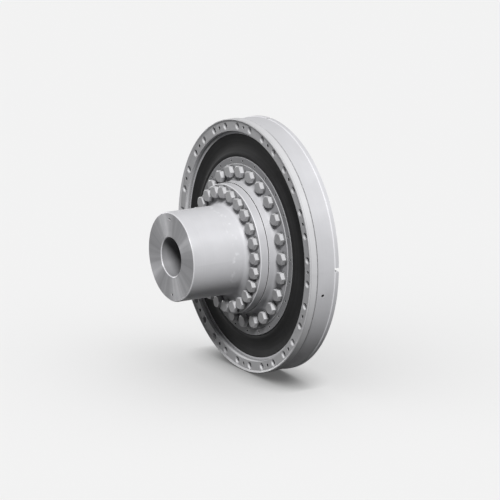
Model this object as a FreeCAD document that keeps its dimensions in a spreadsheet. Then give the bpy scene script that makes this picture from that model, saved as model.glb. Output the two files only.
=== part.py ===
"""Highly flexible rubber shaft coupling for a flywheel, with a flanged hub for the driven shaft.

Millimetres. The coupling's axis is Y and +Z is up. The origin is the centre of the face that seats on
the flywheel: +Y points into the flywheel and -Y towards the nose of the shaft hub. Angles round the
axis are counted clockwise from the top, as seen from the nose.
"""
import FreeCAD, Part
import math
import os
import Sketcher

AXIS = FreeCAD.Vector(0, 1, 0)
CENTRE = FreeCAD.Vector(0, 0, 0)

# Driving dimensions: lengths in millimetres, angles in degrees, and counts.
DIMENSIONS = {
    "fit_gap": (0.1, "radial clearance of a located diameter"),
    "thread_gap": (0.05, "radial room round a thread that is drawn plain"),
    "bond_gap": (0.05, "thickness of the bonding film between rubber and steel"),
    "flange_rim_width": (23, "front flange, from the bolt circle to its outside"),
    "flange_thickness": (28, "front flange, from its rim to the joint with the main ring"),
    "flange_lip": (5, "front flange, how far it covers the clamped edge of the element"),
    "ridge_width": (3, "front flange, width of the bevel outside the recess in its face"),
    "ridge_bevel": (2, "front flange, depth of that bevel"),
    "recess_margin": (3, "front flange, from the bolt holes to the sloping wall of that recess"),
    "face_depth": (4, "front flange, depth of that recess"),
    "ring_step": (3.5, "main ring, how far it lies inside the front flange's rim"),
    "ring_length": (84, "main ring, from the front flange to the flywheel seat"),
    "ring_lip": (8, "main ring, how far it covers the clamped edge of the element"),
    "land_height": (2, "main ring, height of the land that centres in the flywheel"),
    "land_length": (15, "main ring, length of that land"),
    "land_chamfer": (2, "main ring, bevel in front of the land"),
    "groove_width": (13, "main ring, width of the air grooves across its seat"),
    "groove_depth": (15, "main ring, depth of those grooves"),
    "groove_count": (4, "main ring, number of those grooves"),
    "groove_overrun": (5, "how far the cut of a groove runs past the ring"),
    "bolt_circle_step": (13, "flywheel bolt holes, from the clamped edge to their circle"),
    "bolt_hole_radius": (11, "flywheel bolt holes"),
    "bolt_hole_count": (32, "flywheel bolt holes, an even number"),
    "tapped_count": (16, "tapped holes between them, a multiple of the number of grooves"),
    "screw_radius": (6, "screws that join front flange and main ring, thread"),
    "screw_reach": (19, "those screws, depth in the front flange"),
    "screw_head_radius": (9, "those screws, head"),
    "screw_head_height": (12, "those screws, head"),
    "screw_socket_flats": (10, "those screws, width of the hexagon socket"),
    "screw_sink": (1, "those screws, how far the head lies under the flywheel seat"),
    "clearance": (0.75, "radial clearance of a screw, bolt or washer in its hole"),
    "ring_pin_radius": (8, "pins that locate the front flange on the main ring"),
    "ring_pin_length": (40, "those pins, length"),
    "ring_pin_count": (4, "those pins, number"),
    "ring_pin_angle": (33.75, "those pins, angle of the first one from the top"),
    "lift_hole_radius": (5.5, "tapped holes in the rim for lifting eyes"),
    "lift_hole_depth": (24, "those holes, depth"),
    "lift_hole_back": (56, "those holes, distance behind the front rim"),
    "lift_hole_angle": (101.25, "those holes, angle of the first one from the top"),
    "lift_hole_count": (2, "those holes, number"),
    "rubber_width": (77.3, "rubber element, from its inside to its outside"),
    "inner_ring_rim": (11.5, "inner ring, from the small tapped holes' circle to its outside"),
    "element_sunk": (18.6, "outer element ring, how far it lies behind the front rim"),
    "element_ring_wall": (15.2, "outer element ring, thickness of its clamped front"),
    "element_ring_lip": (2, "outer element ring, how far it reaches behind the rubber"),
    "rubber_lip": (4, "rubber, depth behind the inner ring's face where it meets that ring"),
    "rubber_bead": (10, "rubber, width of the bead round the inner ring"),
    "rubber_bead_height": (3, "rubber, height of that bead"),
    "rubber_bead_round": (6, "rubber, rounding of that bead"),
    "rubber_hollow": (12.5, "rubber, depth at which the slopes of each hollow face would meet"),
    "rubber_hollow_round": (80, "rubber, rounding of the hollow between those slopes"),
    "rubber_middle_step": (48.5, "rubber, from its inside to the deepest part of the hollows"),
    "inner_ring_back": (10, "inner ring, how far its face lies behind the front rim"),
    "inner_ring_length": (60, "inner ring, length"),
    "inner_ring_inset": (30, "inner ring, from its bolt circle to the bore for the adapter"),
    "tapped_circle_step": (11, "small tapped holes in the inner ring's face, from the adapter"),
    "tapped_hole_radius": (4, "those holes"),
    "tapped_hole_depth": (20, "those holes, depth"),
    "adapter_rim_width": (24, "adapter, from its bolt circle to the outside of its flange"),
    "adapter_thickness": (28, "adapter, thickness of that flange"),
    "adapter_proud": (3, "adapter, how far it stands out of the inner ring"),
    "hub_spigot_step": (32.5, "hub, how far the spigot in the adapter lies inside the barrel"),
    "adapter_spigot": (12, "adapter, length of the spigot in the inner ring"),
    "drum_step": (2, "adapter, how far its drum stands outside the hub's flange"),
    "drum_length": (36, "adapter, length of its drum in front of the flange"),
    "drum_fillet": (17, "adapter, curve between drum and flange"),
    "drum_wall": (21, "adapter, wall of the drum outside the hollow in its rear"),
    "hollow_depth": (22, "adapter, depth of that hollow"),
    "hollow_fillet": (8, "adapter, corner of that hollow"),
    "shaft_bolt_count": (24, "bolts in each of the two inner bolt circles"),
    "adapter_circle_step": (34, "bolts of the adapter flange, from the drum to their circle"),
    "hub_circle_step": (43.5, "bolts of the hub flange, from the barrel to their circle"),
    "bolt_radius": (12, "those bolts, thread"),
    "bolt_flats": (36, "those bolts, width of the hexagon head"),
    "bolt_head_height": (15, "those bolts, height of the head"),
    "washer_radius": (22, "their washers, outside"),
    "washer_thickness": (4, "their washers, thickness"),
    "spot_room": (1, "radial room round a washer where a curve is cut back for it"),
    "bolt_end_gap": (1, "bolts of the adapter flange, how far they end inside the stop ring"),
    "hub_bolt_reach": (30, "bolts of the hub flange, depth in the adapter"),
    "hub_thread_room": (8, "tapped holes for the hub's bolts, depth beyond the bolt"),
    "adapter_pin_radius": (8, "pins that locate the adapter on the inner ring"),
    "adapter_pin_length": (36, "those pins, length"),
    "adapter_pin_step": (14, "those pins, from the bore that centres the adapter"),
    "hub_pin_radius": (10, "pins that locate the hub on the adapter"),
    "hub_pin_length": (40, "those pins, length"),
    "hub_pin_step": (34, "those pins, from the bore that centres the hub"),
    "pin_count": (4, "locating pins in each of the two inner joints"),
    "hub_flange_thickness": (31, "hub, thickness of its flange"),
    "hub_rim_width": (25, "hub, from its bolt circle to the outside of its flange"),
    "hub_wall": (85, "hub, wall of its barrel"),
    "hub_nose_length": (216, "hub, barrel in front of its flange"),
    "hub_fillet": (24, "hub, curve between barrel and flange"),
    "hub_spigot": (18, "hub, length of the spigot in the adapter"),
    "shaft_radius": (65.5, "hub, bore for the shaft"),
    "puller_inset": (23, "tapped holes in the hub's nose, from the outside of the barrel"),
    "puller_hole_radius": (4.5, "those holes"),
    "puller_hole_depth": (25, "those holes, depth"),
    "stop_count": (6, "twist stops"),
    "stop_lug_angle": (18, "lugs of the stop ring, angle that each covers"),
    "stop_lug_room": (8, "those lugs, room outside them in the main ring"),
    "stop_lug_thickness": (14, "those lugs, thickness"),
    "stop_body_step": (38, "stop ring, from its bolt circle to its outside between the lugs"),
    "stop_lug_root": (4, "those lugs, how far they are rooted in the ring"),
    "stop_bore_inset": (26, "stop ring, from its bolt circle to its bore"),
    "stop_thickness": (24, "stop ring, thickness"),
    "stop_block_width": (50, "stop blocks, from the bore round them to their inside"),
    "stop_block_thickness": (16, "stop blocks, thickness"),
    "block_screw_radius": (6, "screws of the stop blocks, thread"),
    "block_screw_length": (20, "those screws, under the head"),
    "block_screw_head_height": (7, "those screws, head"),
    "block_screw_flats": (8, "those screws, width of the hexagon socket"),
    "block_screw_inset": (24, "those screws, from the bore round the blocks to their circle"),
    "block_screw_angle": (6, "those screws, angle to each side of the middle of their block"),
    "web_thickness": (14, "main ring, web behind the stop blocks"),
    "web_width": (44, "main ring, how far that web stands in from the bore"),
    "twist_limit": (10, "twist to each side until the stops meet"),
    "stop_gap": (0.3, "angle left between the stops at that limit"),
    "inner_turn": (-3, "turn of the shaft side, counted from the flywheel side, at rest"),
    "edge": (1, "bevel on turned edges"),
    "hole_edge": (1.5, "bevel at the front of the flywheel bolt holes"),
    "ring_seam_width": (3, "groove at the joint of front flange and main ring, width"),
    "ring_seam_depth": (5, "that groove, depth"),
    "hub_seam_width": (2, "groove at the joint of hub and adapter, width"),
    "hub_seam_depth": (4, "that groove, depth"),
    "nose_edge": (3, "bevel on the nose and the bore of the hub"),
}

# Places and sizes that follow from the driving ones. A station is a place along Y.
DERIVED = {
    "hub_radius": "shaft_radius + hub_wall",
    "puller_circle_radius": "hub_radius - puller_inset",
    "adapter_bore_radius": "hub_radius - hub_spigot_step",
    "hub_pin_circle": "adapter_bore_radius + hub_pin_step",
    "hub_circle_radius": "hub_radius + hub_circle_step",
    "hub_flange_radius": "hub_circle_radius + hub_rim_width",
    "drum_radius": "hub_flange_radius + drum_step",
    "hollow_radius": "drum_radius - drum_wall",
    "adapter_circle_radius": "drum_radius + adapter_circle_step",
    "adapter_radius": "adapter_circle_radius + adapter_rim_width",
    "inner_ring_bore_radius": "adapter_circle_radius - inner_ring_inset",
    "adapter_pin_circle": "inner_ring_bore_radius + adapter_pin_step",
    "stop_bore_radius": "adapter_circle_radius - stop_bore_inset",
    "stop_body_radius": "adapter_circle_radius + stop_body_step",
    "tapped_circle_radius": "adapter_radius + tapped_circle_step",
    "element_inner_radius": "tapped_circle_radius + inner_ring_rim",
    "rubber_middle": "element_inner_radius + rubber_middle_step",
    "element_radius": "element_inner_radius + rubber_width",
    "clamp_radius": "element_radius + element_ring_wall",
    "flange_bore_radius": "clamp_radius - flange_lip",
    "ring_bore_radius": "clamp_radius - ring_lip",
    "stop_lug_radius": "ring_bore_radius - stop_lug_room",
    "stop_block_radius": "ring_bore_radius - stop_block_width",
    "block_screw_circle": "ring_bore_radius - block_screw_inset",
    "web_bore_radius": "ring_bore_radius - web_width",
    "bolt_circle_radius": "clamp_radius + bolt_circle_step",
    "face_radius": "bolt_circle_radius + bolt_hole_radius + recess_margin",
    "flange_radius": "bolt_circle_radius + flange_rim_width",
    "ridge_radius": "flange_radius - ridge_width",
    "ring_radius": "flange_radius - ring_step",
    "land_radius": "ring_radius + land_height",
    "seam": "-ring_length",
    "rim": "seam - flange_thickness",
    "face": "rim + face_depth",
    "element_front": "rim + element_sunk",
    "inner_front": "rim + inner_ring_back",
    "inner_rear": "inner_front + inner_ring_length",
    "adapter_front": "inner_front - adapter_proud",
    "adapter_seat": "adapter_front + adapter_thickness",
    "drum_front": "adapter_front - drum_length",
    "hub_front": "drum_front - hub_flange_thickness",
    "nose": "hub_front - hub_nose_length",
    "stop_rear": "inner_rear + stop_thickness",
    "rubber_front": "inner_front + rubber_lip",
    "rubber_rear": "rubber_lip - inner_rear",
    "element_ring_rear": "rubber_rear - element_ring_lip",
    "hollow_spread": "(element_radius - rubber_middle) * (element_radius - rubber_middle)",
    "hollow_limit": "2 * hollow_spread * rubber_middle_step / (rubber_hollow * rubber_width)",
    "hollow_round": "min(rubber_hollow_round; hollow_limit)",
    "adapter_bolt_length": "stop_rear - bolt_end_gap - adapter_front + washer_thickness",
    "hub_bolt_length": "washer_thickness + hub_flange_thickness + hub_bolt_reach",
    "hub_thread_depth": "hub_bolt_reach + hub_thread_room",
    "web_front": "inner_rear + stop_block_thickness",
    "web_rear": "web_front + web_thickness",
    "bolt_pitch": "360 / bolt_hole_count",
    "screw_seat": "-(screw_sink + screw_head_height)",
    "screw_length": "ring_length + screw_seat + screw_reach",
    "bolt_hole_clear": "bolt_radius + clearance",
    "screw_hole_clear": "screw_radius + clearance",
    "block_screw_seat": "web_rear - screw_sink - block_screw_head_height",
    "stop_block_angle": "360 / stop_count - stop_lug_angle - 2 * (twist_limit + stop_gap)",
    "bolt_corner_radius": "bolt_flats / 2 / cos(30)",
}


def fill_sheet(doc):
    """Write the driving dimensions and what follows from them into the document's sheet."""
    sheet = doc.addObject("Spreadsheet::Sheet", "Dimensions")
    row = 1
    for alias, (value, note) in DIMENSIONS.items():
        sheet.set(f"A{row}", note)
        sheet.set(f"B{row}", str(value))
        sheet.setAlias(f"B{row}", alias)
        row += 1
    for alias, formula in DERIVED.items():
        sheet.set(f"A{row}", formula)
        sheet.set(f"B{row}", "=" + formula.replace("cos(30)", "cos(30 deg)"))
        sheet.setAlias(f"B{row}", alias)
        row += 1
    doc.recompute()
    return sheet


def named(expression):
    """Point the names in an expression at the sheet's cells."""
    words = sorted(list(DIMENSIONS) + list(DERIVED), key=len, reverse=True)
    text = ""
    at = 0
    while at < len(expression):
        word = next((w for w in words if expression.startswith(w, at)), None)
        if word:
            text += "Dimensions." + word
            at += len(word)
        else:
            text += expression[at]
            at += 1
    return text


def bind(thing, field, expression):
    """Bind one property of an object to the sheet."""
    thing.setExpression(field, named(expression))


def read(expression):
    """The present value of an expression in the sheet's names."""
    probe = DOC.getObject("Dimensions")
    return float(probe.evalExpression(named(expression)))


def origin_part(body, role):
    """A plane or axis of the body's own origin."""
    return next(part for part in body.Origin.OriginFeatures if part.Role == role)


def new_body(label):
    body = DOC.addObject("PartDesign::Body", label)
    body.Label = label
    return body


def bevelled(body, label, edges, size):
    """Bevel edges of the body's last feature, given by name, to a size of the sheet."""
    base = body.Tip
    bevel = body.newObject("PartDesign::Chamfer", label)
    bevel.Base = (base, edges)
    bind(bevel, "Size", size)
    body.Tip = bevel
    DOC.recompute()
    return bevel


def new_sketch(body, label, plane):
    sketch = body.newObject("Sketcher::SketchObject", label)
    sketch.AttachmentSupport = [(origin_part(body, plane), "")]
    sketch.MapMode = "FlatFace"
    return sketch


def draw_outline(sketch, points):
    """Close a run of straight lines whose corners are bound to the sheet, as (across, up) pairs."""
    values = [FreeCAD.Vector(read(across), read(up), 0) for across, up in points]
    count = len(points)
    for i in range(count):
        sketch.addGeometry(Part.LineSegment(values[i], values[(i + 1) % count]), False)
    for i in range(count):
        sketch.addConstraint(Sketcher.Constraint("Coincident", i, 2, (i + 1) % count, 1))
    for i, (across, up) in enumerate(points):
        for kind, value, expression in (("DistanceX", values[i].x, across), ("DistanceY", values[i].y, up)):
            index = sketch.addConstraint(Sketcher.Constraint(kind, -1, 1, i, 1, value))
            bind(sketch, f"Constraints[{index}]", expression)


def turned(label, outline):
    """A body turned about the coupling's axis from an outline of (radius, station) corners."""
    body = new_body(label)
    sketch = new_sketch(body, label + "_outline", "XY_Plane")
    draw_outline(sketch, outline)
    turn = body.newObject("PartDesign::Revolution", label + "_turned")
    turn.Profile = sketch
    turn.ReferenceAxis = (sketch, ["V_Axis"])
    turn.Angle = 360
    body.Tip = turn
    DOC.recompute()
    return body


def cross_sketch(body, label, station):
    """A sketch square to the coupling's axis: its own X is the frame's X and its own Y is up."""
    sketch = new_sketch(body, label, "XZ_Plane")
    bind(sketch, "AttachmentOffset.Base.z", f"-({station})")
    return sketch


def cut_sketch(body, sketch, label, depth, from_rear=False):
    """Cut a cross sketch into the body, towards +Y, or towards -Y where it starts at the rear."""
    before = body.Tip.Shape.Volume
    cut = body.newObject("PartDesign::Pocket", label)
    cut.Profile = sketch
    cut.Type = "Length"
    bind(cut, "Length", depth)
    cut.Reversed = from_rear
    body.Tip = cut
    DOC.recompute()
    if cut.Shape.Volume >= before:
        raise RuntimeError(f"{label} cuts nothing")
    return cut


def repeat_round(body, features, label, count):
    """Repeat features round the coupling's axis."""
    pattern = body.newObject("PartDesign::PolarPattern", label)
    pattern.Originals = features
    pattern.Axis = (origin_part(body, "Y_Axis"), [""])
    pattern.Angle = 360
    bind(pattern, "Occurrences", count)
    body.Tip = pattern
    DOC.recompute()
    return pattern


def drilled(body, label, radius, circle, angle, count, station, depth, from_rear=False):
    """A ring of round holes parallel to the axis."""
    sketch = cross_sketch(body, label + "_sketch", station)
    across = f"({circle}) * sin(({angle}) * 1 deg)"
    up = f"({circle}) * cos(({angle}) * 1 deg)"
    middle = FreeCAD.Vector(read(across), read(up), 0)
    sketch.addGeometry(Part.Circle(middle, FreeCAD.Vector(0, 0, 1), read(radius)), False)
    for kind, value, expression in (("DistanceX", middle.x, across), ("DistanceY", middle.y, up)):
        index = sketch.addConstraint(Sketcher.Constraint(kind, -1, 1, 0, 3, value))
        bind(sketch, f"Constraints[{index}]", expression)
    index = sketch.addConstraint(Sketcher.Constraint("Radius", 0, read(radius)))
    bind(sketch, f"Constraints[{index}]", radius)
    cut = cut_sketch(body, sketch, label + "_first", depth, from_rear)
    return repeat_round(body, [cut], label, count)


def ring_edges(shape, radius, station):
    """Names of the round edges of that radius at that station."""
    names = []
    for number, edge in enumerate(shape.Edges, 1):
        curve = edge.Curve
        if isinstance(curve, Part.Circle) and abs(curve.Radius - radius) < 0.01:
            if abs(curve.Center.y - station) < 0.01 and math.hypot(curve.Center.x, curve.Center.z) < 0.01:
                names.append(f"Edge{number}")
    return names


def hole_edges(shape, radius, station):
    """Names of the edges of that radius at that station which lie off the axis."""
    names = []
    for number, edge in enumerate(shape.Edges, 1):
        curve = edge.Curve
        if isinstance(curve, Part.Circle) and abs(curve.Radius - radius) < 0.01:
            if abs(curve.Center.y - station) < 0.01 and math.hypot(curve.Center.x, curve.Center.z) > 1:
                names.append(f"Edge{number}")
    return names


def rounded(body, label, edges, radius):
    """Round turned edges, given as (radius, station) pairs, to a radius of the sheet."""
    base = body.Tip
    names = []
    for at_radius, station in edges:
        names += ring_edges(base.Shape, read(at_radius), read(station))
    fillet = body.newObject("PartDesign::Fillet", label)
    fillet.Base = (base, names)
    bind(fillet, "Radius", radius)
    body.Tip = fillet
    DOC.recompute()
    return fillet


def ring_of_copies(label, master, count, circle, station, angles, upright=False):
    """Copies of a master piece round the axis, as separate solids that share one name.

    Upright copies all keep the master's own turn, so that their hexagons line up.
    """
    solids = []
    total = int(round(read(count)))
    for first, i in [(angle, i) for angle in angles for i in range(total)]:
        turn = math.radians(read(first) + 360 / total * i)
        place = FreeCAD.Vector(read(circle) * math.sin(turn), read(station), read(circle) * math.cos(turn))
        spin = FreeCAD.Rotation(FreeCAD.Vector(1, 0, 0), 90)
        if not upright:
            spin = FreeCAD.Rotation(AXIS, math.degrees(turn)).multiply(spin)
        solid = master.Shape.copy()
        solid.Placement = FreeCAD.Placement(place, spin)
        solids.append(solid)
    group = DOC.addObject("Part::Feature", label)
    group.Label = label
    group.Shape = Part.makeCompound(solids)
    return group


def cylinder(label, radius, height, start="0"):
    """A round bar along the master's own Z, which becomes the frame's -Y."""
    bar = DOC.addObject("Part::Cylinder", label)
    bind(bar, "Radius", radius)
    bind(bar, "Height", height)
    bind(bar, "Placement.Base.z", start)
    return bar


def joined(label, kind, base, tool):
    """A boolean of two master solids."""
    result = DOC.addObject(kind, label)
    result.Base = base
    result.Tool = tool
    DOC.recompute()
    return result


def hexagon_bolt(label, length):
    """A hexagon bolt whose head stands on the master's origin and whose shank hangs below it."""
    head = DOC.addObject("Part::Prism", label + "_hexagon")
    head.Polygon = 6
    bind(head, "Circumradius", "bolt_corner_radius")
    bind(head, "Height", "bolt_head_height")
    crown = DOC.addObject("Part::Cone", label + "_crown")
    bind(crown, "Radius1", "bolt_flats / 2 * 0.96 + bolt_head_height * 1.7321")
    bind(crown, "Radius2", "bolt_flats / 2 * 0.96")
    bind(crown, "Height", "bolt_head_height")
    shaped = joined(label + "_head", "Part::Common", head, crown)
    shank = cylinder(label + "_shank", "bolt_radius", length, f"-({length})")
    return joined(label + "_master", "Part::Fuse", shaped, shank)


def washer():
    """A plain washer that lies under a hexagon head, in front of the face that carries it."""
    disc = cylinder("washer_disc", "washer_radius", "washer_thickness")
    hole = cylinder("washer_hole", "bolt_hole_clear", "washer_thickness")
    return joined("washer_master", "Part::Cut", disc, hole)


def socket_screw(label, radius, length, head_height, flats):
    """A cap screw with a hexagon socket. It is put in from the rear, so its head is at the bottom."""
    head = cylinder(label + "_head", "screw_head_radius", head_height, f"-({head_height})")
    shank = cylinder(label + "_shank", radius, length)
    whole = joined(label + "_blank", "Part::Fuse", head, shank)
    socket = DOC.addObject("Part::Prism", label + "_socket")
    socket.Polygon = 6
    bind(socket, "Circumradius", f"{flats} / 2 / cos(30 deg)")
    bind(socket, "Height", f"{head_height} / 2")
    bind(socket, "Placement.Base.z", f"-({head_height})")
    return joined(label + "_master", "Part::Cut", whole, socket)


def stop_block():
    """A block between two lugs of the stop ring, with two tapped holes, centred on the master's X."""
    outside = cylinder("block_outside", "ring_bore_radius - fit_gap", "stop_block_thickness")
    inside = cylinder("block_inside", "stop_block_radius", "stop_block_thickness")
    bind(outside, "Angle", "stop_block_angle")
    outside.Placement.Rotation = FreeCAD.Rotation(FreeCAD.Vector(0, 0, 1), -read("stop_block_angle") / 2)
    bind(outside, "Placement.Rotation.Angle", "-stop_block_angle / 2 * 1 deg")
    block = joined("block_sector", "Part::Cut", outside, inside)
    for side in ("-", "+"):
        name = "block_hole_left" if side == "-" else "block_hole_right"
        hole = cylinder(name, "block_screw_radius + thread_gap", "stop_block_thickness")
        bind(hole, "Placement.Base.x", f"block_screw_circle * cos({side}block_screw_angle * 1 deg)")
        bind(hole, "Placement.Base.y", f"block_screw_circle * sin({side}block_screw_angle * 1 deg)")
        block = joined(name + "_cut", "Part::Cut", block, hole)
    return block


def front_flange():
    """The drilled ring at the front, which clamps the rubber element to the main ring."""
    body = turned("front_flange", [
        ("flange_bore_radius", "face + edge"),
        ("flange_bore_radius + edge", "face"),
        ("face_radius", "face"),
        ("ridge_radius", "rim"),
        ("flange_radius", "rim + ridge_bevel"),
        ("flange_radius", "seam"),
        ("clamp_radius + fit_gap", "seam"),
        ("clamp_radius + fit_gap", "element_front"),
        ("flange_bore_radius", "element_front"),
    ])
    drilled(body, "flange_bolt_holes", "bolt_hole_radius", "bolt_circle_radius", "bolt_pitch / 2",
            "bolt_hole_count", "rim", "flange_thickness")
    fronts = hole_edges(body.Tip.Shape, read("bolt_hole_radius"), read("face"))
    if len(fronts) != int(round(read("bolt_hole_count"))):
        raise RuntimeError("not every flywheel bolt hole has an edge to bevel")
    bevelled(body, "flange_bolt_bevels", fronts, "hole_edge")
    drilled(body, "flange_tapped_holes", "screw_radius + thread_gap", "bolt_circle_radius", "0",
            "tapped_count", "rim", "flange_thickness")
    drilled(body, "flange_pin_holes", "ring_pin_radius + thread_gap", "bolt_circle_radius", "ring_pin_angle",
            "ring_pin_count", "seam", "ring_pin_length * 0.4", from_rear=True)
    return body


def main_ring():
    """The wide ring behind it, with a web for the stop blocks and a land that centres in the flywheel."""
    body = turned("main_ring", [
        ("ring_bore_radius", "seam"),
        ("ring_radius - ring_seam_depth", "seam"),
        ("ring_radius - ring_seam_depth", "seam + ring_seam_width"),
        ("ring_radius", "seam + ring_seam_width"),
        ("ring_radius", "-land_length"),
        ("land_radius", "-land_length + land_chamfer"),
        ("land_radius", "-edge"),
        ("land_radius - edge", "0"),
        ("ring_bore_radius + edge", "0"),
        ("ring_bore_radius", "-edge"),
        ("ring_bore_radius", "web_rear"),
        ("web_bore_radius", "web_rear"),
        ("web_bore_radius", "web_front"),
        ("ring_bore_radius", "web_front"),
    ])
    for side in ("-", "+"):
        name = "web_screw_holes_left" if side == "-" else "web_screw_holes_right"
        angle = f"inner_turn + 180 / stop_count {side} block_screw_angle"
        drilled(body, name, "block_screw_radius + clearance", "block_screw_circle", angle,
                "stop_count", "web_front", "web_thickness")
        drilled(body, name + "_seats", "screw_head_radius + clearance", "block_screw_circle", angle,
                "stop_count", "web_rear", "screw_sink + block_screw_head_height", from_rear=True)
    drilled(body, "ring_bolt_holes", "bolt_hole_radius", "bolt_circle_radius", "bolt_pitch / 2",
            "bolt_hole_count", "seam", "ring_length")
    for i, angle in enumerate(screw_angles()):
        drilled(body, f"ring_screw_holes_{i}", "screw_hole_clear", "bolt_circle_radius", angle,
                "groove_count", "seam", "ring_length")
        drilled(body, f"ring_screw_seats_{i}", "screw_head_radius + clearance", "bolt_circle_radius", angle,
                "groove_count", "0", "-screw_seat", from_rear=True)
    drilled(body, "ring_pin_holes", "ring_pin_radius + thread_gap", "bolt_circle_radius", "ring_pin_angle",
            "ring_pin_count", "seam", "ring_pin_length * 0.6 + edge")
    cut_grooves(body)
    drill_lifting_holes(body)
    return body


def screw_angles():
    """Angles of the screws between the top groove and the next one: none lies in a groove."""
    between = int(round(read("tapped_count / groove_count")))
    return [f"360 / tapped_count * {i}" for i in range(1, between)]


def cut_grooves(body):
    """Grooves across the seat, evenly spaced from the top, that let air into the space behind the element."""
    sketch = cross_sketch(body, "groove_sketch", "0")
    draw_outline(sketch, [
        ("-groove_width / 2", "ring_bore_radius - groove_overrun"),
        ("groove_width / 2", "ring_bore_radius - groove_overrun"),
        ("groove_width / 2", "land_radius + groove_overrun"),
        ("-groove_width / 2", "land_radius + groove_overrun"),
    ])
    cut = cut_sketch(body, sketch, "groove_first", "groove_depth", from_rear=True)
    repeat_round(body, [cut], "grooves", "groove_count")


def drill_lifting_holes(body):
    """Tapped holes into the rim, midway between two bolt holes, for lifting eyes."""
    sketch = new_sketch(body, "lift_hole_sketch", "XY_Plane")
    sketch.AttachmentOffset = FreeCAD.Placement(CENTRE, FreeCAD.Rotation(AXIS, read("lift_hole_angle")))
    bind(sketch, "AttachmentOffset.Rotation.Angle", "lift_hole_angle * 1 deg")
    bind(sketch, "AttachmentOffset.Base.x", "ring_radius * sin(lift_hole_angle * 1 deg)")
    bind(sketch, "AttachmentOffset.Base.z", "ring_radius * cos(lift_hole_angle * 1 deg)")
    middle = FreeCAD.Vector(0, read("rim + lift_hole_back"), 0)
    sketch.addGeometry(Part.Circle(middle, FreeCAD.Vector(0, 0, 1), read("lift_hole_radius")), False)
    sketch.addConstraint(Sketcher.Constraint("PointOnObject", 0, 3, -2))
    index = sketch.addConstraint(Sketcher.Constraint("DistanceY", -1, 1, 0, 3, middle.y))
    bind(sketch, f"Constraints[{index}]", "rim + lift_hole_back")
    index = sketch.addConstraint(Sketcher.Constraint("Radius", 0, read("lift_hole_radius")))
    bind(sketch, f"Constraints[{index}]", "lift_hole_radius")
    cut = cut_sketch(body, sketch, "lift_hole_first", "lift_hole_depth")
    repeat_round(body, [cut], "lift_holes", "lift_hole_count")


def element_outer_ring():
    """The steel ring bonded to the outside of the rubber, clamped by its front edge."""
    return turned("element_outer_ring", [
        ("element_radius", "element_front"),
        ("clamp_radius", "element_front"),
        ("clamp_radius", "seam"),
        ("ring_bore_radius - fit_gap", "seam"),
        ("ring_bore_radius - fit_gap", "-element_ring_rear"),
        ("element_radius", "-element_ring_rear"),
    ])


def rubber_element():
    """The rubber disc that twists, hollow in both free faces and with a bead round the inner ring."""
    inside = "element_inner_radius + bond_gap"
    bead = "element_inner_radius + rubber_bead"
    crest = "rubber_front - rubber_bead_height"
    front_hollow = "rubber_front + rubber_hollow"
    rear_hollow = "-rubber_rear - rubber_hollow"
    body = turned("rubber_element", [
        (inside, "rubber_front"),
        (bead, crest),
        ("rubber_middle", front_hollow),
        ("element_radius", "element_front + edge / 2"),
        ("element_radius", "-rubber_rear"),
        ("rubber_middle", rear_hollow),
        (inside, "-rubber_rear"),
    ])
    rounded(body, "rubber_crest", [(bead, crest)], "rubber_bead_round")
    hollows = [("rubber_middle", front_hollow), ("rubber_middle", rear_hollow)]
    rounded(body, "rubber_hollows", hollows, "hollow_round")
    return body


def element_inner_ring():
    """The steel ring bonded to the inside of the rubber, which carries the adapter."""
    body = turned("element_inner_ring", [
        ("adapter_radius + fit_gap", "inner_front"),
        ("element_inner_radius - edge", "inner_front"),
        ("element_inner_radius", "inner_front + edge"),
        ("element_inner_radius", "inner_rear"),
        ("inner_ring_bore_radius", "inner_rear"),
        ("inner_ring_bore_radius", "adapter_seat"),
        ("adapter_radius + fit_gap", "adapter_seat"),
    ])
    drilled(body, "inner_ring_bolt_holes", "bolt_hole_clear", "adapter_circle_radius", "inner_turn",
            "shaft_bolt_count", "inner_front", "inner_ring_length")
    drilled(body, "inner_ring_tapped_holes", "tapped_hole_radius", "tapped_circle_radius", "inner_turn",
            "shaft_bolt_count", "inner_front", "tapped_hole_depth")
    drilled(body, "inner_ring_pin_holes", "adapter_pin_radius + thread_gap", "adapter_pin_circle",
            "inner_turn + 180 / shaft_bolt_count", "pin_count", "adapter_seat",
            "adapter_pin_length / 2 + edge")
    return body


def stop_ring():
    """The ring behind the element: it takes the adapter's bolts, and its lugs limit the twist."""
    body = turned("stop_ring", [
        ("stop_bore_radius", "inner_rear"),
        ("stop_body_radius", "inner_rear"),
        ("stop_body_radius", "stop_rear - edge"),
        ("stop_body_radius - edge", "stop_rear"),
        ("stop_bore_radius + edge", "stop_rear"),
        ("stop_bore_radius", "stop_rear - edge"),
    ])
    add_stop_lugs(body)
    drilled(body, "stop_ring_tapped_holes", "bolt_radius + thread_gap", "adapter_circle_radius", "inner_turn",
            "shaft_bolt_count", "inner_rear", "stop_thickness")
    return body


def add_stop_lugs(body):
    """Lugs that reach out between those of the main ring."""
    sketch = cross_sketch(body, "stop_lug_sketch", "inner_rear")
    half = "stop_lug_angle / 2"
    root = "(stop_body_radius - stop_lug_root)"
    tip = "stop_lug_radius"
    points = []
    for radius, side in ((root, "-"), (tip, "-"), (tip, "+"), (root, "+")):
        angle = f"((inner_turn {side} {half}) * 1 deg)"
        points.append((f"{radius} * sin{angle}", f"{radius} * cos{angle}"))
    draw_outline(sketch, points)
    lug = body.newObject("PartDesign::Pad", "stop_lug_first")
    lug.Profile = sketch
    bind(lug, "Length", "stop_lug_thickness")
    lug.Reversed = True
    body.Tip = lug
    DOC.recompute()
    repeat_round(body, [lug], "stop_lugs", "stop_count")


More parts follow.
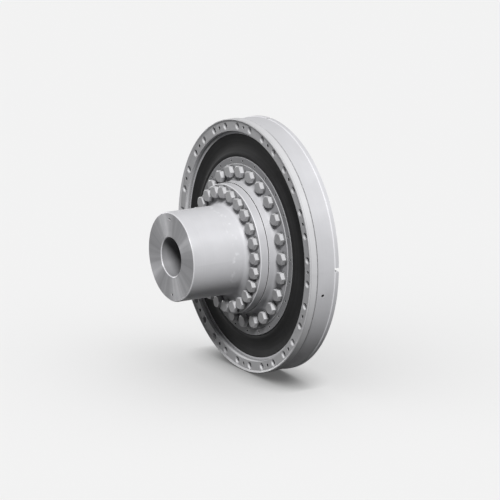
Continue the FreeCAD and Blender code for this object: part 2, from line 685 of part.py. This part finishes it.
def adapter():
    """The drum and flange that carry the hub: bolted to the inner ring, with the hub bolted to it."""
    body = turned("adapter", [
        ("adapter_bore_radius", "drum_front"),
        ("drum_radius", "drum_front"),
        ("drum_radius", "adapter_front"),
        ("adapter_radius - edge", "adapter_front"),
        ("adapter_radius", "adapter_front + edge"),
        ("adapter_radius", "adapter_seat"),
        ("inner_ring_bore_radius - fit_gap", "adapter_seat"),
        ("inner_ring_bore_radius - fit_gap", "adapter_seat + adapter_spigot"),
        ("hollow_radius", "adapter_seat + adapter_spigot"),
        ("hollow_radius", "adapter_seat + adapter_spigot - hollow_depth"),
        ("adapter_bore_radius", "adapter_seat + adapter_spigot - hollow_depth"),
    ])
    rounded(body, "drum_curve", [("drum_radius", "adapter_front")], "drum_fillet")
    drilled(body, "drum_spot_faces", "washer_radius + spot_room", "adapter_circle_radius", "inner_turn",
            "shaft_bolt_count", "adapter_front - drum_fillet", "drum_fillet")
    rounded(body, "hollow_corner", [("hollow_radius", "adapter_seat + adapter_spigot - hollow_depth")],
            "hollow_fillet")
    drilled(body, "adapter_bolt_holes", "bolt_hole_clear", "adapter_circle_radius", "inner_turn",
            "shaft_bolt_count", "adapter_front", "adapter_thickness")
    drilled(body, "adapter_tapped_holes", "bolt_radius + thread_gap", "hub_circle_radius", "inner_turn",
            "shaft_bolt_count", "drum_front", "hub_thread_depth")
    drilled(body, "adapter_rear_pin_holes", "adapter_pin_radius + thread_gap", "adapter_pin_circle",
            "inner_turn + 180 / shaft_bolt_count", "pin_count", "adapter_seat",
            "adapter_pin_length / 2 + edge", from_rear=True)
    drilled(body, "adapter_front_pin_holes", "hub_pin_radius + thread_gap", "hub_pin_circle",
            "inner_turn + 45", "pin_count", "drum_front", "hub_pin_length / 2 + edge")
    return body


def shaft_hub():
    """The hub: a long barrel with a plain bore for a shrink-fitted shaft, and a bolted flange."""
    body = turned("shaft_hub", [
        ("shaft_radius", "nose + nose_edge"),
        ("shaft_radius + nose_edge", "nose"),
        ("hub_radius - nose_edge", "nose"),
        ("hub_radius", "nose + nose_edge"),
        ("hub_radius", "hub_front"),
        ("hub_flange_radius - nose_edge / 2", "hub_front"),
        ("hub_flange_radius", "hub_front + nose_edge / 2"),
        ("hub_flange_radius", "drum_front - hub_seam_width"),
        ("hub_flange_radius - hub_seam_depth", "drum_front - hub_seam_width"),
        ("hub_flange_radius - hub_seam_depth", "drum_front"),
        ("adapter_bore_radius - fit_gap", "drum_front"),
        ("adapter_bore_radius - fit_gap", "drum_front + hub_spigot"),
        ("shaft_radius", "drum_front + hub_spigot"),
    ])
    rounded(body, "hub_curve", [("hub_radius", "hub_front")], "hub_fillet")
    drilled(body, "hub_spot_faces", "washer_radius + spot_room", "hub_circle_radius", "inner_turn",
            "shaft_bolt_count", "hub_front - hub_fillet", "hub_fillet")
    drilled(body, "hub_bolt_holes", "bolt_hole_clear", "hub_circle_radius", "inner_turn",
            "shaft_bolt_count", "hub_front", "hub_flange_thickness")
    drilled(body, "puller_holes", "puller_hole_radius", "puller_circle_radius", "inner_turn",
            "2", "nose", "puller_hole_depth")
    drilled(body, "hub_pin_holes", "hub_pin_radius + thread_gap", "hub_pin_circle", "inner_turn + 45",
            "pin_count", "drum_front", "hub_pin_length / 2", from_rear=True)
    return body


def fasteners():
    """Bolts, washers, screws and pins, each kind as one group of separate solids."""
    long_bolt = hexagon_bolt("adapter_bolt", "adapter_bolt_length")
    short_bolt = hexagon_bolt("hub_bolt", "hub_bolt_length")
    disc = washer()
    screw = socket_screw("ring_screw", "screw_radius", "screw_length", "screw_head_height",
                         "screw_socket_flats")
    block_screw = socket_screw("block_screw", "block_screw_radius", "block_screw_length",
                               "block_screw_head_height", "block_screw_flats")
    block = stop_block()
    ring_pin = cylinder("ring_pin", "ring_pin_radius", "ring_pin_length")
    adapter_pin = cylinder("adapter_pin", "adapter_pin_radius", "adapter_pin_length")
    hub_pin = cylinder("hub_pin", "hub_pin_radius", "hub_pin_length")
    DOC.recompute()
    between_bolts = "inner_turn + 180 / shaft_bolt_count"
    block_middle = "inner_turn + 180 / stop_count"
    return [
        ring_of_copies("adapter_bolts", long_bolt, "shaft_bolt_count", "adapter_circle_radius",
                       "adapter_front - washer_thickness", ["inner_turn"], upright=True),
        ring_of_copies("adapter_bolt_washers", disc, "shaft_bolt_count", "adapter_circle_radius",
                       "adapter_front", ["inner_turn"]),
        ring_of_copies("hub_bolts", short_bolt, "shaft_bolt_count", "hub_circle_radius",
                       "hub_front - washer_thickness", ["inner_turn"], upright=True),
        ring_of_copies("hub_bolt_washers", disc, "shaft_bolt_count", "hub_circle_radius",
                       "hub_front", ["inner_turn"]),
        ring_of_copies("ring_screws", screw, "groove_count", "bolt_circle_radius", "screw_seat",
                       screw_angles()),
        ring_of_copies("ring_pins", ring_pin, "ring_pin_count", "bolt_circle_radius",
                       "seam + ring_pin_length * 0.6", ["ring_pin_angle"]),
        ring_of_copies("adapter_pins", adapter_pin, "pin_count", "adapter_pin_circle",
                       "adapter_seat + adapter_pin_length / 2", [between_bolts]),
        ring_of_copies("hub_pins", hub_pin, "pin_count", "hub_pin_circle",
                       "drum_front + hub_pin_length / 2", ["inner_turn + 45"]),
        ring_of_copies("stop_blocks", block, "stop_count", "0", "web_front", [f"{block_middle} - 90"]),
        ring_of_copies("stop_block_screws", block_screw, "stop_count", "block_screw_circle",
                       "block_screw_seat", [f"{block_middle} - block_screw_angle",
                                            f"{block_middle} + block_screw_angle"]),
    ]


def check_and_save(pieces):
    """Stop on any failed object or bad shape, then write one file for each piece."""
    failed = [thing.Label for thing in DOC.Objects if "Invalid" in thing.State or "Error" in thing.State]
    if failed:
        raise RuntimeError(f"these did not build: {failed}")
    for piece in pieces:
        if piece.Shape.isNull() or not piece.Shape.isValid() or not piece.Shape.Solids:
            raise RuntimeError(f"{piece.Label} has no sound shape")
    os.makedirs("parts", exist_ok=True)
    for piece in pieces:
        piece.Shape.exportStep(f"parts/{piece.Label}.step")
        box = piece.Shape.BoundBox
        print(f"{piece.Label}: {len(piece.Shape.Solids)} solid(s), {piece.Shape.Volume:.0f} mm3, "
              f"y {box.YMin:.1f} to {box.YMax:.1f}, z {box.ZMin:.1f} to {box.ZMax:.1f}")


DOC = FreeCAD.newDocument("shaft_coupling")
fill_sheet(DOC)
PIECES = [
    front_flange(),
    main_ring(),
    element_outer_ring(),
    rubber_element(),
    element_inner_ring(),
    stop_ring(),
    adapter(),
    shaft_hub(),
] + fasteners()
DOC.recompute()
check_and_save(PIECES)
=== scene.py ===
"""The rubber shaft coupling, dressed: turned steel, plain bolts and a moulded rubber disc.

Metres, in the frame of the solids: the axis is Y, +Y points into the flywheel, +Z is up, and the
origin is the centre of the face that seats on the flywheel. Stations, along the axis, and radii
are in millimetres.
"""
import math

import bpy
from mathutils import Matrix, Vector


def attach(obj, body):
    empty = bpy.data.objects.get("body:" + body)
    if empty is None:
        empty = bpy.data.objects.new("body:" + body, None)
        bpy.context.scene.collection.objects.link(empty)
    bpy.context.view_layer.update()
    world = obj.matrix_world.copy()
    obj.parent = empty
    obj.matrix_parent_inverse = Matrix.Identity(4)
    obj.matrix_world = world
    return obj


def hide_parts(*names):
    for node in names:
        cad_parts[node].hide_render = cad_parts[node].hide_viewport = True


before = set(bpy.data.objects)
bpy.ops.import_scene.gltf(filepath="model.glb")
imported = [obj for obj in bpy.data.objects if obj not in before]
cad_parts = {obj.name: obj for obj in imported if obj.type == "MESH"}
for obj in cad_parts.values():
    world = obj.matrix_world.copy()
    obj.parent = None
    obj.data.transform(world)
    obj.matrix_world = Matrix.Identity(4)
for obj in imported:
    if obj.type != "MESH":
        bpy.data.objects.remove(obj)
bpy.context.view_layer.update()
MM = 0.001
MM_IN_A_METRE = 1000.0

# Stations of what the finishes follow
NOSE = -388.0                   # front face of the hub
NOSE_BEVEL = -386.6
BARREL_ROOT = -228.0            # on the barrel, a little in front of its flange
HUB_FLANGE_BEVEL = -171.0
HUB_JOINT = -142.0              # narrow groove between hub and adapter
FLANGE_AND_DRUM = -140.0        # middle of the hub's flange and the adapter's drum together
FLANGE_BEVELS = -106.8          # bevels of the front flange, also those of its bolt holes
FLANGE_JOINT = -84.0            # between front flange and main ring
RING_GROOVE = -81.8             # narrow groove just behind that joint
INNER_RING = -67.6              # middle of the element's inner ring
LAND_EDGE = -15.0               # step up to the land at the rear of the main ring
BORE_RADIUS = 66.0              # just outside the hub's bore


# Nodes
def srgb(text):
    """A hex colour as linear red, green, blue and alpha."""
    parts = [int(text[i:i + 2], 16) / 255 for i in (1, 3, 5)]
    return [c / 12.92 if c <= 0.04045 else ((c + 0.055) / 1.055) ** 2.4 for c in parts] + [1.0]


def shade(text, scale):
    """A hex colour made darker or lighter, as linear red, green, blue and alpha."""
    return [min(1.0, c * scale) for c in srgb(text)[:3]] + [1.0]


def add(tree, kind, settings=None, inputs=None):
    """Add a node, set its settings, and fill or link its inputs."""
    node = tree.nodes.new(kind)
    for name, value in (settings or {}).items():
        setattr(node, name, value)
    for key, value in (inputs or {}).items():
        socket = node.inputs[key]
        if isinstance(value, bpy.types.NodeSocket):
            tree.links.new(value, socket)
        else:
            socket.default_value = value
    return node


def number(tree, operation, *values):
    """The result of a calculation with numbers."""
    return add(tree, "ShaderNodeMath", {"operation": operation}, dict(enumerate(values))).outputs[0]


def vector(tree, operation, *values):
    """The result of a calculation with vectors: a number for a length or a dot product."""
    node = add(tree, "ShaderNodeVectorMath", {"operation": operation}, dict(enumerate(values)))
    return node.outputs["Value" if operation in ("LENGTH", "DOT_PRODUCT") else "Vector"]


def joined(tree, *values):
    """Up to three numbers as one vector."""
    return add(tree, "ShaderNodeCombineXYZ", None, dict(enumerate(values))).outputs[0]


def scaled(tree, tone, scale):
    """A colour or vector times a number."""
    return add(tree, "ShaderNodeVectorMath", {"operation": "SCALE"},
               {0: tone, "Scale": scale}).outputs[0]


def remap(tree, value, low, high, to_low, to_high):
    """A number from between low and high, moved to between to_low and to_high and held there."""
    return add(tree, "ShaderNodeMapRange", None,
               {"Value": value, "From Min": low, "From Max": high,
                "To Min": to_low, "To Max": to_high}).outputs[0]


def noise(tree, place, scale, detail, roughness, dimensions="3D"):
    """Smooth noise, most of it between 0.3 and 0.7."""
    return add(tree, "ShaderNodeTexNoise", {"noise_dimensions": dimensions},
               {"Vector": place, "Scale": scale, "Detail": detail,
                "Roughness": roughness}).outputs["Fac"]


def spread(tree, value, to_low, to_high):
    """Noise stretched to run from to_low to to_high."""
    return remap(tree, value, 0.3, 0.7, to_low, to_high)


def blend(tree, factor, first, second):
    """The first colour at a factor of 0, the second at 1."""
    return add(tree, "ShaderNodeMix", {"data_type": "RGBA"},
               {"Factor": factor, 6: first, 7: second}).outputs[2]


def bump(tree, strength, depth_mm, height):
    """The normal of a surface with relief of the depth given."""
    return add(tree, "ShaderNodeBump", None,
               {"Strength": strength, "Distance": depth_mm * MM, "Height": height}).outputs[0]


def new_material(name):
    """An empty material with its output."""
    material = bpy.data.materials.new(name)
    material.use_nodes = True
    material.node_tree.nodes.clear()
    output = add(material.node_tree, "ShaderNodeOutputMaterial")
    return material, material.node_tree, output


def part_place(tree):
    """The place of a point in the part's own frame, in metres."""
    return add(tree, "ShaderNodeTexCoord").outputs["Object"]


def turning_space(tree, place):
    """The radius and the station of a point, and both as one vector."""
    across = vector(tree, "MULTIPLY", place, (MM_IN_A_METRE, 0.0, MM_IN_A_METRE))
    radius = vector(tree, "LENGTH", across)
    along = add(tree, "ShaderNodeSeparateXYZ", None, {0: place}).outputs["Y"]
    station = number(tree, "MULTIPLY", along, MM_IN_A_METRE)
    return radius, station, joined(tree, radius, station)


def turning_direction(tree, place):
    """The direction in which a point moves when the part turns, which feed marks follow."""
    along = vector(tree, "CROSS_PRODUCT", (0.0, 1.0, 0.0), place)
    return add(tree, "ShaderNodeVectorTransform",
               {"vector_type": "VECTOR", "convert_from": "OBJECT", "convert_to": "WORLD"},
               {0: along}).outputs[0]


def band(tree, value, middle, half, soft, level):
    """The level within half of the middle, then over a soft edge up to 1."""
    away = number(tree, "ABSOLUTE", number(tree, "SUBTRACT", value, middle))
    return remap(tree, away, half, half + soft, level, 1.0)


def paint_facing_shade(tree, tone, front, side):
    """A tone scaled by front on the faces square to the axis and by side on those along it: painted
    shade that makes a face darker by the way it faces.
    """
    normal = add(tree, "ShaderNodeVectorTransform",
                 {"vector_type": "NORMAL", "convert_from": "WORLD", "convert_to": "OBJECT"},
                 {0: add(tree, "ShaderNodeNewGeometry").outputs["Normal"]}).outputs[0]
    along = add(tree, "ShaderNodeSeparateXYZ", None, {0: normal}).outputs["Y"]
    facing = number(tree, "ABSOLUTE", along)
    return scaled(tree, tone, remap(tree, facing, 0.25, 0.95, side, front))


def paint_edge_highlight_and_corner_shade(tree, tone, edge_mm, edge_highlight_level, crevice_mm, corner_shade_level):
    """A tone with painted highlights along its edges and painted shade in its corners."""
    rounded = add(tree, "ShaderNodeBevel", {"samples": 6}, {"Radius": edge_mm * MM}).outputs[0]
    flat = add(tree, "ShaderNodeNewGeometry").outputs["Normal"]
    # Painted highlight: the tone turns near white along rounded edges.
    edge = remap(tree, vector(tree, "DOT_PRODUCT", rounded, flat), 0.98, 0.80, 0.0, edge_highlight_level)
    open_sky = add(tree, "ShaderNodeAmbientOcclusion", {"samples": 8},
                   {"Distance": crevice_mm * MM}).outputs["AO"]
    # Painted shade: the tone darkens where ambient occlusion finds walls close by.
    corner_shaded_tone = scaled(tree, tone, remap(tree, open_sky, 0.35, 0.85, 1.0 - corner_shade_level, 1.0))
    return blend(tree, edge, corner_shaded_tone, srgb("#f2f2f4"))


# Materials
def polished_sheen_spots(tree, place, station, sheen_spot_station):
    """The scale of a tone with small bright spots round a station: polished smudges, with their
    sheen painted in.
    """
    away = band(tree, station, sheen_spot_station, 6.0, 14.0, 0.0)
    spots = noise(tree, place, 38.0, 2.0, 0.5)
    return remap(tree, spots, 0.56, 0.66, 1.0, remap(tree, away, 0.0, 1.0, 1.22, 1.0))


def paint_sheen_spokes(tree, place, away):
    """The scale of a tone with faint spokes of painted sheen, which fade out as away goes from 0 to
    1.
    """
    outwards = vector(tree, "NORMALIZE", vector(tree, "MULTIPLY", place, (1.0, 0.0, 1.0)))
    spoke_sheen = noise(tree, outwards, 4.5, 4.0, 0.7)
    return remap(tree, spoke_sheen, 0.35, 0.65, remap(tree, away, 0.0, 1.0, 0.86, 1.0),
                 remap(tree, away, 0.0, 1.0, 1.12, 1.0))


def turned_steel(name, colour, roughness, groove_mm, depth_mm, streak, anisotropy, grain=0.0,
                 metallic=0.10, edge_mm=1.5, front=1.0, faced_station=None, sheen_spot_station=None,
                 levels=()):
    """Bare carbon steel turned on a lathe: fine rings that drag highlights across the feed marks.

    The marks scatter much of the light, so the surface is between a mirror and chalk: metallic is
    matched. A face that was finished with a sharper tool, at faced_station, is brighter in two
    opposite sectors and carries faint spokes of painted sheen. Round the station given for the
    spots, the surface has polished smudges whose sheen is painted in as small bright spots.

    groove_mm is the width of a band of feed marks: single marks are a tenth of that, too fine to
    show. levels scale the tone: each gives radius or station, a middle, half a width and the scale.
    """
    material, tree, output = new_material(name)
    place = part_place(tree)
    radius, station, rings = turning_space(tree, place)
    marks = noise(tree, rings, 1.0 / groove_mm, 4.0, 0.65, "2D")
    smudge = noise(tree, place, 9.0, 3.0, 0.55)
    tone = blend(tree, marks, shade(colour, 1 - streak), shade(colour, 1 + streak))
    for side, middle, half, scale in levels:
        value = radius if side == "radius" else station
        tone = scaled(tree, tone, band(tree, value, middle, half, 0.4, scale))
    tone = scaled(tree, tone, spread(tree, smudge, 0.95, 1.04))
    # Polished smudges round the station given, with their sheen painted in as bright spots.
    if sheen_spot_station is not None:
        tone = scaled(tree, tone, polished_sheen_spots(tree, place, station, sheen_spot_station))
    shine = metallic
    if faced_station is not None:
        away = band(tree, station, faced_station, 0.4, 0.3, 0.0)
        # Painted sheen: faint spokes scale the tone on the faced front.
        tone = scaled(tree, tone, paint_sheen_spokes(tree, place, away))
        shine = remap(tree, away, 0.0, 1.0, 0.95, metallic)
    # Painted shade: faces square to the axis are darkened by front.
    tone = paint_facing_shade(tree, tone, front, 1.0)
    # Painted highlights on the edges and painted shade in the corners.
    tone = paint_edge_highlight_and_corner_shade(tree, tone, edge_mm, 1.0, 13.0, 0.92)
    height = marks
    if grain:
        height = number(tree, "MULTIPLY_ADD", noise(tree, place, 420.0, 2.0, 0.6), grain, marks)
    shader = add(tree, "ShaderNodeBsdfPrincipled", None,
                 {"Base Color": tone, "Metallic": shine,
                  "Roughness": spread(tree, smudge, roughness - 0.04, roughness + 0.05),
                  "Anisotropic": anisotropy, "Anisotropic Rotation": 0.25,
                  "Specular IOR Level": 0.12, "Tangent": turning_direction(tree, place),
                  "Normal": bump(tree, 0.35, depth_mm, height)})
    tree.links.new(shader.outputs[0], output.inputs[0])
    return material


def plain_steel(name, colour, front, side, metallic=0.25):
    """Bolts and washers as they come: cold-formed steel with a thin oil film and handling marks.

    front and side scale the tone of the faces square to the axis and of those along it: painted
    shade, which darkens the end of a bolt's head and a washer's face and rim.
    """
    roughness = 0.42
    material, tree, output = new_material(name)
    place = part_place(tree)
    mottle = noise(tree, place, 70.0, 4.0, 0.6)
    scuff = noise(tree, place, 600.0, 2.0, 0.5)
    tone = blend(tree, mottle, shade(colour, 0.86), shade(colour, 1.12))
    # Painted shade: faces square to the axis scaled by front, those along it by side.
    tone = paint_facing_shade(tree, tone, front, side)
    # Painted highlights on the edges and painted shade in the corners.
    tone = paint_edge_highlight_and_corner_shade(tree, tone, 1.2, 0.6, 10.0, 0.6)
    shader = add(tree, "ShaderNodeBsdfPrincipled", None,
                 {"Base Color": tone, "Metallic": metallic,
                  "Roughness": spread(tree, mottle, roughness - 0.05, roughness + 0.07),
                  "Normal": bump(tree, 0.25, 0.05, scuff)})
    tree.links.new(shader.outputs[0], output.inputs[0])
    return material


def moulded_rubber():
    """Natural rubber with carbon black, moulded and bonded: matt charcoal with a dusty bloom."""
    material, tree, output = new_material("moulded_rubber")
    place = part_place(tree)
    rings = turning_space(tree, place)[2]
    bloom = noise(tree, place, 14.0, 5.0, 0.62)
    flow = noise(tree, rings, 0.22, 3.0, 0.6, "2D")
    pores = noise(tree, place, 520.0, 2.0, 0.5)
    dust = remap(tree, number(tree, "MULTIPLY", bloom, flow), 0.12, 0.42, 0.0, 1.0)
    shader = add(tree, "ShaderNodeBsdfPrincipled", None,
                 {"Base Color": blend(tree, dust, srgb("#181818"), srgb("#242425")),
                  "Roughness": 0.72, "IOR": 1.52, "Specular IOR Level": 0.15,
                  "Normal": bump(tree, 0.4, 0.12, pores)})
    tree.links.new(shader.outputs[0], output.inputs[0])
    return material


# Painted shade: a near-black band in the groove behind the flange joint. Painted highlight: a
# bright band at the step up to the land.
ring_steel = turned_steel(
    "turned_ring_steel", "#bebec1", roughness=0.48, groove_mm=3.0, depth_mm=0.03, streak=0.05,
    anisotropy=0.45, metallic=0.07,
    levels=[("station", RING_GROOVE, 2.2, 0.10), ("station", LAND_EDGE, 1.3, 1.25)])
# Painted shade: front faces darkened by front, a dark band at the joint with the main ring, and
# darker bevels round the face and the mouths of the bolt holes.
flange_steel = turned_steel(
    "faced_flange_steel", "#c4c4c6", roughness=0.50, groove_mm=2.2, depth_mm=0.05, streak=0.07,
    anisotropy=0.35, grain=0.5, front=0.72,
    levels=[("station", FLANGE_JOINT, 1.0, 0.3), ("station", FLANGE_BEVELS, 0.6, 0.7)])
# Painted shade: front faces darkened by front, a dark band in the joint between hub and adapter,
# and a darker bore. Painted highlights: bright bands on the bevels of the nose and of the hub's
# flange.
hub_steel = turned_steel(
    "turned_hub_steel", "#bebec1", roughness=0.45, groove_mm=2.6, depth_mm=0.03, streak=0.05,
    anisotropy=0.80, edge_mm=2.5, front=0.66, metallic=0.04, faced_station=NOSE,
    sheen_spot_station=BARREL_ROOT,
    levels=[("station", NOSE, 0.4, 0.80), ("station", HUB_JOINT, 1.2, 0.45),
            ("station", FLANGE_AND_DRUM, 36.0, 0.88), ("radius", 0.0, BORE_RADIUS, 0.42),
            ("station", NOSE_BEVEL, 0.8, 1.6), ("station", HUB_FLANGE_BEVEL, 0.8, 1.8)])
# Painted shade: the element's inner ring has a darker tone, and near black deeper than its front
# face.
shade_darkened_steel = turned_steel(
    "shade_darkened_ring_steel", "#808082", roughness=0.50, groove_mm=2.2, depth_mm=0.05, streak=0.06,
    anisotropy=0.35, grain=0.8,
    levels=[("station", INNER_RING, 29.3, 0.12)])
# Painted shade: bolt heads darker at their ends, washers darkened on face and rim.
bolt_steel = plain_steel("plain_bolt_steel", "#bcbcbe", front=0.60, side=1.0, metallic=0.10)
washer_steel = plain_steel("plain_washer_steel", "#a0a0a2", front=0.3, side=0.42, metallic=0.10)
black_steel = plain_steel("blackened_screw_steel", "#4a4a4c", front=1.0, side=1.0)
rubber = moulded_rubber()

finishes = {
    "front_flange": flange_steel, "main_ring": ring_steel, "element_outer_ring": ring_steel,
    "rubber_element": rubber, "element_inner_ring": shade_darkened_steel, "stop_ring": ring_steel,
    "stop_blocks": ring_steel, "adapter": hub_steel, "shaft_hub": hub_steel,
    "adapter_bolts": bolt_steel, "hub_bolts": bolt_steel,
    "adapter_bolt_washers": washer_steel, "hub_bolt_washers": washer_steel,
    "ring_screws": black_steel, "stop_block_screws": black_steel,
    "ring_pins": washer_steel, "adapter_pins": washer_steel, "hub_pins": washer_steel,
}
for name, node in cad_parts.items():
    node.data.materials.clear()
    node.data.materials.append(finishes[name])


# The rubber disc
def link(name, data):
    """A new object with the data given, in the scene."""
    obj = bpy.data.objects.new(name, data)
    bpy.context.scene.collection.objects.link(obj)
    return obj


def lathe(name, profile, material, steps=192):
    """A closed ring turned about Y from (radius, station) points."""
    count = len(profile)
    verts = []
    for i in range(steps):
        turn = 2 * math.pi * i / steps
        for radius, station in profile:
            verts.append((radius * MM * math.sin(turn), station * MM,
                          radius * MM * math.cos(turn)))
    faces = []
    for i in range(steps):
        j = (i + 1) % steps
        for k in range(count):
            m = (k + 1) % count
            faces.append((i * count + k, j * count + k, j * count + m, i * count + m))
    mesh = bpy.data.meshes.new(name)
    mesh.from_pydata(verts, [], faces)
    mesh.polygons.foreach_set("use_smooth", [True] * len(faces))
    mesh.materials.append(material)
    return link(name, mesh)


def rubber_profile():
    """Section of the disc: a bead round the inner ring and a shallow hollow in each face."""
    inside, outside = 301.56, 378.79
    bead = [(inside, -98.0), (303.0, -98.6), (306.0, -99.7), (309.0, -100.4), (311.5, -100.6),
            (314.0, -100.1), (317.0, -98.4), (320.0, -96.4)]
    front = [(324.0, -94.2), (330.0, -91.6), (336.0, -89.6), (343.0, -88.2), (350.0, -87.7),
             (357.0, -88.3), (364.0, -89.6), (370.0, -91.0), (375.0, -92.1), (outside, -92.7)]
    rear = [(outside, -46.1), (374.0, -48.2), (366.0, -51.8), (358.0, -54.8), (350.0, -56.3),
            (342.0, -56.0), (330.0, -53.4), (318.0, -50.4), (308.0, -47.8), (inside, -46.2)]
    return bead + front + rear


rubber_disc = lathe("rubber_disc", rubber_profile(), rubber)
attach(rubber_disc, "flywheel_side")
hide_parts("rubber_element")

# Floor, light and camera
BACKDROP = srgb("#f2f2f2")
FLOOR_HEIGHT = -0.4302          # just below the rim
FLOOR_TONE = 0.51               # with the lamp overhead, this and the glow give the backdrop's tone
FLOOR_GLOW = 0.35
FLOOR_BOUNCE = 0.06             # what the floor sends back on to the object


def is_seen(tree):
    """1 on rays from the camera and in mirrors or glass, 0 on those that only carry light."""
    path = add(tree, "ShaderNodeLightPath").outputs
    seen = number(tree, "MAXIMUM", path["Is Camera Ray"], path["Is Glossy Ray"])
    return number(tree, "MAXIMUM", seen, path["Is Transmission Ray"])


def plain_floor():
    """A pale floor with the same tone out to its edge, that keeps the object's shadow and has a
    painted contact shadow near it.
    """
    half = 60.0
    corners = [(x, y, FLOOR_HEIGHT) for x, y in
               ((-half, -half), (half, -half), (half, half), (-half, half))]
    mesh = bpy.data.meshes.new("floor")
    mesh.from_pydata(corners, [], [(0, 1, 2, 3)])
    material, tree, output = new_material("pale_floor")
    # Painted shadow: the floor darkens where ambient occlusion finds the object close by.
    open_sky = add(tree, "ShaderNodeAmbientOcclusion", {"samples": 8},
                   {"Distance": 0.11}).outputs["AO"]
    painted_contact_shadow = remap(tree, open_sky, 0.3, 1.0, 0.3, 1.0)
    grey = joined(tree, painted_contact_shadow, painted_contact_shadow, painted_contact_shadow)
    dull = add(tree, "ShaderNodeBsdfDiffuse", None, {"Color": [FLOOR_BOUNCE] * 3 + [1.0]})
    white = add(tree, "ShaderNodeBsdfDiffuse", None, {"Color": scaled(tree, grey, FLOOR_TONE)})
    glow = add(tree, "ShaderNodeEmission", None, {"Color": grey, "Strength": FLOOR_GLOW})
    bright = add(tree, "ShaderNodeAddShader", None, {0: white.outputs[0], 1: glow.outputs[0]})
    shader = add(tree, "ShaderNodeMixShader", None,
                 {0: is_seen(tree), 1: dull.outputs[0], 2: bright.outputs[0]})
    tree.links.new(shader.outputs[0], output.inputs[0])
    mesh.materials.append(material)
    obj = link("floor", mesh)
    return obj


def soft_sky(strength):
    """An even sky: the camera and the metal see the pale backdrop, all else a plain level."""
    world = bpy.data.worlds.new("soft_sky")
    bpy.context.scene.world = world
    world.use_nodes = True
    tree = world.node_tree
    tree.nodes.clear()
    level = add(tree, "ShaderNodeBackground", None,
                {"Color": (1.0, 1.0, 1.0, 1.0), "Strength": strength})
    backdrop = add(tree, "ShaderNodeBackground", None, {"Color": BACKDROP, "Strength": 1.0})
    mix = add(tree, "ShaderNodeMixShader", None,
              {0: is_seen(tree), 1: level.outputs[0], 2: backdrop.outputs[0]})
    output = add(tree, "ShaderNodeOutputWorld")
    tree.links.new(mix.outputs[0], output.inputs[0])


def soft_lamp(name, towards, strength, width_deg, floor, lights_floor):
    """A wide, distant softbox in the direction given, for the floor alone or for all the rest."""
    lamp = bpy.data.lights.new(name, "SUN")
    lamp.energy = strength
    lamp.angle = math.radians(width_deg)
    obj = link(name, lamp)
    obj.rotation_mode = "QUATERNION"
    obj.rotation_quaternion = Vector(towards).to_track_quat("Z", "Y")
    receivers = bpy.data.collections.new(name + "_receivers")
    receivers.objects.link(floor)
    state = "INCLUDE" if lights_floor else "EXCLUDE"
    receivers.collection_objects[0].light_linking.link_state = state
    obj.light_linking.receiver_collection = receivers


def photo_camera():
    """The camera worked out from the photograph's ellipses."""
    azimuth, elevation = math.radians(58.87), math.radians(14.39)
    aim, distance = Vector((0.0, -0.0819, -0.0163)), 13.50
    back = Vector((math.sin(azimuth) * math.cos(elevation),
                   -math.cos(azimuth) * math.cos(elevation), math.sin(elevation)))
    camera = bpy.data.cameras.new("photo_camera")
    camera.sensor_width = 36.0
    camera.lens = 289.87
    camera.clip_end = 200.0
    obj = link("photo_camera", camera)
    obj.rotation_mode = "QUATERNION"
    obj.location = aim + back * distance
    obj.rotation_quaternion = (-back).to_track_quat("-Z", "Y")
    bpy.context.scene.camera = obj


ground = plain_floor()
soft_sky(0.03)
soft_lamp("key_softbox", (0.63, -0.33, 0.69), 4.6, 20, ground, False)
soft_lamp("left_softbox", (-0.985, -0.17, 0.05), 1.15, 20, ground, False)
soft_lamp("rear_softbox", (-0.20, 0.98, 0.0), 1.8, 10, ground, False)
soft_lamp("overhead_softbox", (0.03, -0.10, 1.0), 3.25, 125, ground, True)
photo_camera()
bpy.context.scene.view_settings.view_transform = "Standard"
